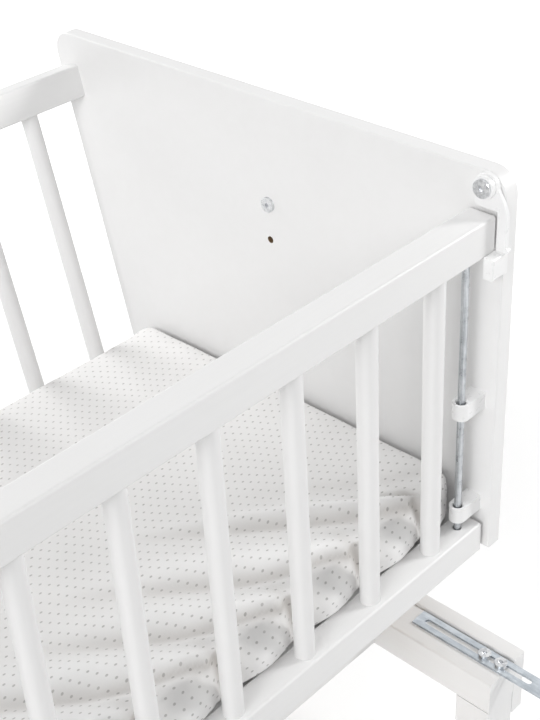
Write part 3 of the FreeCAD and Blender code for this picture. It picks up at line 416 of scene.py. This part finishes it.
def pad_form():
    """The closed form that the cloth starts from: a block with drawn-in edges."""
    rings = []
    for i in range(LOW_RINGS):
        turn = math.pi / 2 * i / (LOW_RINGS - 1)
        rings.append((LOW_EDGE * (1 - math.sin(turn)),
                      PAD_MIN.z + LOW_EDGE * (1 - math.cos(turn))))
    for i in range(HIGH_RINGS):
        turn = math.pi / 2 * i / (HIGH_RINGS - 1)
        rings.append((HIGH_EDGE * (1 - math.cos(turn)), TOP_Z - HIGH_EDGE * (1 - math.sin(turn))))
    points = []
    for inset, z in rings:
        points += ring(FORM_INSET + inset, CORNER - CORNER_LOSS * inset, z)
    count = 4 * CORNER_POINTS
    faces = []
    for i in range(len(rings) - 1):
        for j in range(count):
            k = (j + 1) % count
            faces.append((i * count + j, i * count + k,
                          (i + 1) * count + k, (i + 1) * count + j))
    faces.append(tuple(reversed(range(count))))
    faces.append(tuple(range(len(points) - count, len(points))))
    mesh = bpy.data.meshes.new("mattress_form")
    mesh.from_pydata(points, [], faces)
    mesh.validate()
    made = bpy.data.objects.new("mattress_in_sheet", mesh)
    bpy.context.scene.collection.objects.link(made)
    return made


def applied(obj):
    """Replace an object's mesh by what its modifiers make of it."""
    shown = obj.evaluated_get(bpy.context.evaluated_depsgraph_get())
    mesh = bpy.data.meshes.new_from_object(shown)
    old = obj.data
    obj.modifiers.clear()
    obj.data = mesh
    bpy.data.meshes.remove(old)


def of_vertices(obj, what):
    """Each vertex's co or normal, as rows of an array."""
    flat = np.zeros(len(obj.data.vertices) * 3, np.float32)
    obj.data.vertices.foreach_get(what, flat)
    return flat.reshape(-1, 3).astype(float)


def move_to(obj, points):
    obj.data.vertices.foreach_set("co", points.astype(np.float32).ravel())
    obj.data.update()


def swell(obj):
    """Blow the sheet's form up a little as cloth, with a cap on how far a point may move."""
    rest = of_vertices(obj, "co")
    cloth = obj.modifiers.new("cloth", "CLOTH")
    cloth.settings.quality = 4
    cloth.settings.mass = 0.2
    cloth.settings.tension_stiffness = 12
    cloth.settings.compression_stiffness = 12
    cloth.settings.bending_stiffness = 0.3
    cloth.settings.use_pressure = True
    cloth.settings.uniform_pressure_force = 4
    cloth.settings.effector_weights.gravity = 0
    cloth.collision_settings.use_collision = False
    cloth.point_cache.frame_start = 1
    cloth.point_cache.frame_end = CLOTH_FRAMES
    for step in range(1, CLOTH_FRAMES + 1):
        bpy.context.scene.frame_set(step)
    applied(obj)
    bpy.context.scene.frame_set(1)
    moved = of_vertices(obj, "co") - rest
    far = np.linalg.norm(moved, axis=1)
    moved *= np.minimum(1, SWELL_CAP / np.maximum(far, 1e-9))[:, None]
    move_to(obj, rest + moved)


def hump(distance, width):
    return np.exp(-(distance / width) ** 2)


def rise(value, low, high):
    t = np.clip((value - low) / (high - low), 0, 1)
    return t * t * (3 - 2 * t)


def fold_size(k):
    """Width, height and length of ridge k. Ridge 0 is the narrow one by the right-hand
    spindle; ridge -1, on its right, is hardly raised."""
    if k == 0:
        return 13 * MM, 5.2 * MM, 175 * MM
    length = (150 + 25 * math.sin(2.9 * k)) * MM
    if k < 0:
        return 26 * MM, 1.4 * MM, length
    width = (21 + 3 * math.sin(2.1 * k)) * MM
    return width, (4.6 + 0.7 * math.sin(1.7 * k + 1)) * MM, length


def slanting_folds(x, behind, up):
    """Ridges that run back and to the left, each with a valley on its near side that ends in a
    crease. Returns the height and the painted shade that they add: painted light on the ridges,
    painted shade in the valleys and creases."""
    slant = x - HALF_X + FOLD_SLOPE * behind
    sway = SWAY * np.sin(behind / 0.034 + x / 0.21)
    top_side = rise(up, 0.1, 0.75)
    height = np.zeros(len(x))
    shade = np.zeros(len(x))
    for k in range(-1, FOLDS):
        along = slant + sway - FOLD_START + k * PITCH
        width, tall, length = fold_size(k)
        fade = 1 - rise(behind, 0.35 * length, length)
        near_front = 1 + 0.35 * hump(behind, 30 * MM)
        offset = 8 * MM + 10 * MM * rise(behind, 0, 25 * MM)
        if k != 0:
            offset += 17 * MM * rise(behind, 5 * MM, 50 * MM)
        ridge = fade * top_side * hump(along, width)
        valley = fade * top_side * hump(along + offset, VALLEY_WIDTH)
        crease = (hump(along + offset - 6 * MM, CREASE_WIDTH) * hump(behind, CREASE_LENGTH)
                  * top_side)
        if k == 0:
            split = hump(along - SPLIT_PLACE, SPLIT_WIDTH) * rise(behind, 2 * MM, 12 * MM)
            crease += 1.4 * split * hump(behind - SPLIT_LENGTH, SPLIT_LENGTH) * top_side
        if k < 0:
            valley *= 0.3
            crease *= 0
        height += tall * near_front * ridge - VALLEY_DEPTH * valley - CREASE_DEPTH * crease
        # painted light on the ridges, painted shade in the valleys and creases
        shade += RIDGE_SHADE * ridge * (k >= 0) - VALLEY_SHADE * valley - CREASE_SHADE * crease
    return height, shade


def fold_sheet(obj):
    """The crown, the slanting folds behind the front edge, the front side pinched at the spindles
    and puffed out between them, and the gathers round the corners, with the painted light and
    shade of the folds, pinches and puffs."""
    p = of_vertices(obj, "co")
    n = of_vertices(obj, "normal")
    x, y, z = p[:, 0].copy(), p[:, 1].copy(), p[:, 2].copy()
    up = np.clip(n[:, 2], 0, 1)
    down = np.clip(-n[:, 2], 0, 1)
    side = 1 - np.clip(np.abs(n[:, 2]), 0, 1)
    behind = y - PAD_MIN.y
    from_end = HALF_X - np.abs(x)
    level = (z - PAD_MIN.z) / (TOP_Z - PAD_MIN.z)
    outward = n[:, :2] / np.maximum(np.linalg.norm(n[:, :2], axis=1), 1e-6)[:, None]

    # the print's flat coordinates, taken before any fold is made
    drop = np.clip(TOP_Z - z, 0, None) * (down < 0.5)
    flat = np.zeros_like(p)
    flat[:, 0] = x + outward[:, 0] * drop
    flat[:, 1] = y + outward[:, 1] * drop

    # crown, slow unevenness and folds of the top, which is higher along the end panels
    high = rise(z, PAD_MIN.z + 20 * MM, TOP_Z - 4 * MM)
    dz = CROWN * (1 - (np.abs(y - MIDDLE_Y) / HALF_Y) ** 4) * high
    dz += 0.6 * MM * up * np.sin(x / 0.071 + 1.3 * np.sin(y / 0.09)) * np.sin(y / 0.058 + 0.8)
    height, shade = slanting_folds(x, behind, up)
    dz += height
    shade += PLAIN_SHADE
    dz *= 0.7 + 0.3 * rise(from_end, 1 * MM, 14 * MM)
    dz += END_LIFT * rise(up, 0.1, 0.75) * hump(from_end - 4 * MM, 18 * MM)

    # the front side
    share = (x - FIRST_SPINDLE) / PITCH
    nearest = np.clip(np.round(share), 0, SPINDLES - 1)
    off = (share - nearest) * PITCH
    gap = np.sin(math.pi * (share - PINCH / PITCH)) ** 2
    facing = np.clip(-n[:, 1], 0, 1) ** 0.7 * (y < MIDDLE_Y)
    reach = rise(from_end, 10 * MM, 34 * MM)
    pinch = hump(off - PINCH, PINCH_WIDTH) * rise(level, 0.35, 0.7)
    resting = rise(level, 0.2, 0.36) * (1 - rise(level, 0.6, 1))
    puff = gap ** 0.7 * resting
    pleats = PLEAT * np.sin(off / 0.0016 + 2 * np.sin(z / 0.008)) * hump(off, 22 * MM)
    dy = facing * reach * (PINCH_DEPTH * pinch - PUFF * puff - RESTING * resting
                           + pleats * rise(level, 0.2, 0.5))
    dy -= FRONT_SLACK * facing
    # painted light on the puffs, painted shade in the pinches and where the spindles stand
    shade += facing * reach * (PUFF_SHADE * puff - PINCH_SHADE * pinch
                               - SPINDLE_SHADE * (1 - gap))
    dz += PUFF_LIFT * up ** 0.5 * gap * hump(behind - 10 * MM, 16 * MM) * reach

    # gathers round the corners, and ripples along the rear
    to_side = np.minimum(behind, PAD_MAX.y - y)
    gather = np.sin((from_end - to_side) / 0.0019 + 1.5 * np.sin(z / 0.009)) - 1
    gather *= GATHER * side * hump(np.hypot(from_end, to_side), 34 * MM) * rise(level, 0.05, 0.3)
    ripple = RIPPLE * side * (np.sin(x / 0.011 + 3 * np.sin(x / 0.05)) - 1) * (y > MIDDLE_Y)
    dx = outward[:, 0] * (gather + ripple)
    dy += outward[:, 1] * (gather + ripple)
    p = np.stack([x + dx, y + dy, z + dz], axis=1)

    # clear of the end panels, of the rail and the spindles, and of the slats
    over_rail = rise(p[:, 2], RAIL_TOP + 0.8 * MM, RAIL_TOP + 2.6 * MM)
    foremost = PAD_MIN.y - LOW_REACH - RAIL_REACH * over_rail
    bar = (SPINDLE_RADIUS + SPINDLE_ROOM) ** 2 - off ** 2
    bar_rear = SPINDLE_Y + np.sqrt(np.clip(bar, 0, None))
    foremost = np.where(bar > 0, np.maximum(foremost, bar_rear), foremost)
    p[:, 0] += END_REACH * np.sign(x) * np.clip(np.abs(n[:, 0]), 0, 1)
    p[:, 0] = np.clip(p[:, 0], -HALF_X - END_REACH, HALF_X + END_REACH)
    p[:, 1] = np.maximum(p[:, 1], foremost)
    p[:, 2] = np.maximum(p[:, 2], PAD_MIN.z + SLAT_ROOM)
    move_to(obj, p)
    made = obj.data.attributes.new("cloth_map", "FLOAT_VECTOR", "POINT")
    made.data.foreach_set("vector", flat.astype(np.float32).ravel())
    # the painted shade map that the sheet's material reads
    made = obj.data.attributes.new("painted_fold_shade", "FLOAT", "POINT")
    made.data.foreach_set("value", np.clip(shade, 0, 1).astype(np.float32))


def make_mattress():
    obj = pad_form()
    remesh = obj.modifiers.new("remesh", "REMESH")
    remesh.mode = "VOXEL"
    remesh.voxel_size = VOXEL
    applied(obj)
    swell(obj)
    fine = obj.modifiers.new("fine", "SUBSURF")
    fine.levels = 1
    fine.render_levels = 1
    applied(obj)
    fold_sheet(obj)
    obj.data.shade_smooth()
    obj.data.materials.clear()
    obj.data.materials.append(dotted_cotton("dotted_cotton_sheet"))
    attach(obj, "frame")
    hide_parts("mattress")


make_mattress()


# ---------------------------------------------------------------- floor, light and camera
FLOOR_HALF = 7.0
FLOOR_STEPS = 14
WHITE = (1, 1, 1, 1)
# The floor's glow to the camera grows from near to far, so that it ends in white and still
# shows the shadow.
GLOW_NEAR, GLOW_FAR = 0.8, 3.0
GLOW_LOW, GLOW_HIGH = 0.16, 1.1
EVEN_LIGHT = 0.38
# name, place, target, size, power
LAMPS = (
    ("key", (1.4, -0.85, 1.32), (0.35, -0.2, 0.75), 0.35, 10),
    ("top", (-0.3, 0.1, 3.2), (0, 0, 0.6), 2.2, 7),
    ("fill", (-4.6, -1.5, 2.9), (0.2, 0, 0.7), 2.6, 150),
    ("front", (1.0, -2.8, 1.5), (0.2, 0, 0.7), 1.6, 5),
    ("rear", (0.4, 2.7, 1.9), (0.1, 0, 0.6), 1.2, 42),
)
# The camera's place and directions, fitted to the photo's edges.
CAMERA_PLACE = (-0.28843, -0.71817, 1.24757)
CAMERA_RIGHT = (0.69036776, -0.72166595, -0.050898)
CAMERA_UP = (0.42847129, 0.35117237, 0.83252046)
CAMERA_AHEAD = (0.5829277, 0.59655362, -0.55165123)
LENS = 66.72
SENSOR = 36


def stage_floor():
    count = FLOOR_STEPS + 1
    spots = [-FLOOR_HALF + 2 * FLOOR_HALF * i / FLOOR_STEPS for i in range(count)]
    points = [(x, y, 0) for x in spots for y in spots]
    corners = [i * count + j for i in range(FLOOR_STEPS) for j in range(FLOOR_STEPS)]
    faces = [(c, c + count, c + count + 1, c + 1) for c in corners]
    mesh = bpy.data.meshes.new("stage_floor")
    mesh.from_pydata(points, [], faces)
    floor = bpy.data.objects.new("stage_floor", mesh)
    bpy.context.scene.collection.objects.link(floor)
    m = Material("pale_floor", Specular_IOR_Level=0.2, Emission_Color=WHITE)
    tone = m.spread(m.noise(m.place, scale=2.0, detail=2.0), 0.3, 0.7, 0.0, 1.0)
    path = m.add("ShaderNodeLightPath")
    seen = m.math("MAXIMUM", path.outputs["Is Camera Ray"],
                  m.math("MAXIMUM", path.outputs["Is Glossy Ray"],
                         path.outputs["Is Transmission Ray"]))
    away = m.feed(m.add("ShaderNodeVectorMath", operation="LENGTH"), in0=m.place)
    glow = m.spread(away.outputs["Value"], GLOW_NEAR, GLOW_FAR, GLOW_LOW, GLOW_HIGH, smooth=True)
    m.feed(m.shader, Emission_Strength=m.math("MULTIPLY", seen, glow))
    relief = m.bump(m.noise(m.place, scale=300.0, detail=2.0), 0.1 * MM)
    mesh.materials.append(m.finish(m.blend(tone, grey(0.86), grey(0.88)),
                                   m.spread(tone, 0, 1, 0.8, 0.9), relief))


def area_light(name, place, target, size, power):
    data = bpy.data.lights.new(name, "AREA")
    data.shape = "DISK"
    data.size = size
    data.energy = power
    lamp = bpy.data.objects.new(name, data)
    lamp.location = place
    aim = Vector(target) - Vector(place)
    lamp.rotation_mode = "QUATERNION"
    lamp.rotation_quaternion = aim.to_track_quat("-Z", "Y")
    bpy.context.scene.collection.objects.link(lamp)


def surroundings():
    """Even light from all round; white to the camera, to gloss and through glass."""
    world = bpy.data.worlds.new("studio")
    bpy.context.scene.world = world
    world.use_nodes = True
    nodes, links = world.node_tree.nodes, world.node_tree.links
    nodes.clear()
    path = nodes.new("ShaderNodeLightPath")
    even, white = nodes.new("ShaderNodeBackground"), nodes.new("ShaderNodeBackground")
    even.inputs["Strength"].default_value = EVEN_LIGHT
    for background in (even, white):
        background.inputs["Color"].default_value = WHITE
    first, second = nodes.new("ShaderNodeMath"), nodes.new("ShaderNodeMath")
    first.operation = second.operation = "MAXIMUM"
    mix = nodes.new("ShaderNodeMixShader")
    out = nodes.new("ShaderNodeOutputWorld")
    links.new(path.outputs["Is Camera Ray"], first.inputs[0])
    links.new(path.outputs["Is Glossy Ray"], first.inputs[1])
    links.new(first.outputs[0], second.inputs[0])
    links.new(path.outputs["Is Transmission Ray"], second.inputs[1])
    links.new(second.outputs[0], mix.inputs[0])
    links.new(even.outputs[0], mix.inputs[1])
    links.new(white.outputs[0], mix.inputs[2])
    links.new(mix.outputs[0], out.inputs["Surface"])


def camera():
    data = bpy.data.cameras.new("camera")
    data.lens = LENS
    data.sensor_width = SENSOR
    data.clip_start = 0.01
    data.clip_end = 100
    made = bpy.data.objects.new("camera", data)
    turn = Matrix((CAMERA_RIGHT, CAMERA_UP, -Vector(CAMERA_AHEAD))).transposed().to_4x4()
    made.matrix_world = Matrix.Translation(CAMERA_PLACE) @ turn
    bpy.context.scene.collection.objects.link(made)
    bpy.context.scene.camera = made


stage_floor()
surroundings()
for lamp in LAMPS:
    area_light(*lamp)
camera()
bpy.context.scene.view_settings.view_transform = "Standard"
